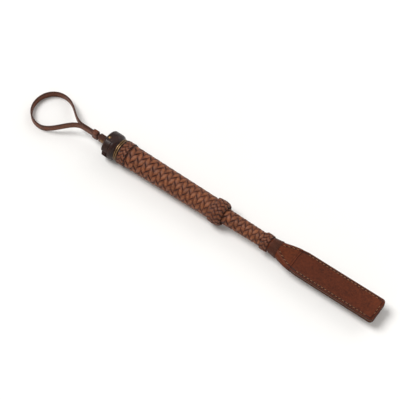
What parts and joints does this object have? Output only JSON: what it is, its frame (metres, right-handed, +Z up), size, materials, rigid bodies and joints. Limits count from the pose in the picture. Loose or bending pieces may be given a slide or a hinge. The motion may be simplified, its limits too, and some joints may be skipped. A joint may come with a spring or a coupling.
{
  "type": "riding crop",
  "caption": "Short riding crop with a plaited leather grip and shaft, a domed butt cap, a wrist loop on a pin, and a flapper of two leather leaves.",
  "frame": {"origin": "middle of the footprint of the crop and its wrist loop, on the surface that they lie on", "axes": "+X along the crop from the butt to the flapper's end, +Z up, +Y across"},
  "size_m": [0.52, 0.056, 0.033],
  "materials": {
    "cap": "satin dark brown with light scuffs",
    "metal": "antique brass, browned and rubbed bright on the edges",
    "fibreglass": "ground matt",
    "core": "sanded",
    "braid": "plaited mid-brown leather, satin, worn lighter on the crowns",
    "knot": "plaited dark-brown leather, satin",
    "inner_leather": "matt",
    "flapper": "smooth dark red-brown bridle leather, satin with burnished edges",
    "suede": "napped",
    "strap": "brown strap leather, satin with dark edges",
    "thread": "waxed linen thread",
    "felt": "felted"
  },
  "bodies": {
    "handle": {"butt_cap": "cap", "loop_pin": "metal", "butt_ferrule": "metal", "core_rod": "fibreglass", "handle_core": "core", "grip_liner": "inner_leather", "grip_braid": "braid", "butt_knot": "knot", "lower_knot": "knot", "shaft_belly": "inner_leather", "shaft_braid": "braid"},
    "tip": {"neck_collar": "knot", "neck_sleeve": "flapper", "neck_filler": "felt", "neck_binding": "thread", "neck_stitching": "thread"},
    "upper_leaf": {"leaf_top": "flapper", "leaf_top_lining": "suede", "leaf_top_stitching": "thread"},
    "lower_leaf": {"leaf_bottom": "flapper", "leaf_bottom_lining": "suede", "leaf_bottom_stitching": "thread"},
    "wrist_loop": {"loop_tab": "strap", "tab_rivet": "metal", "wrist_strap": "strap"},
    "keeper": {"loop_keeper": "strap"}
  },
  "joints": [
    {"name": "shaft_flex", "type": "hinge", "parent": "handle", "child": "tip", "pos_m": [0.09, 0, 0.0165], "axis": [0, -1, 0], "range_deg": [-20, 20], "stiffness_Nm_per_rad": 8, "deforming": ["core_rod", "shaft_braid"]},
    {"name": "upper_leaf_bend", "type": "hinge", "parent": "tip", "child": "upper_leaf", "pos_m": [0.145, 0, 0.01835], "axis": [0, -1, 0], "range_deg": [0, 60], "stiffness_Nm_per_rad": 0.28},
    {"name": "lower_leaf_bend", "type": "hinge", "parent": "tip", "child": "lower_leaf", "pos_m": [0.145, 0, 0.01465], "axis": [0, 1, 0], "range_deg": [0, 60], "stiffness_Nm_per_rad": 0.28},
    {"name": "loop_swing", "type": "hinge", "parent": "handle", "child": "wrist_loop", "pos_m": [-0.138, 0, 0.0165], "axis": [0, 0, 1], "range_deg": [-95, 95]},
    {"name": "keeper_slide", "type": "slide", "parent": "wrist_loop", "child": "keeper", "axis": [-1, 0, 0], "range_m": [0, 0.012]}
  ]
}
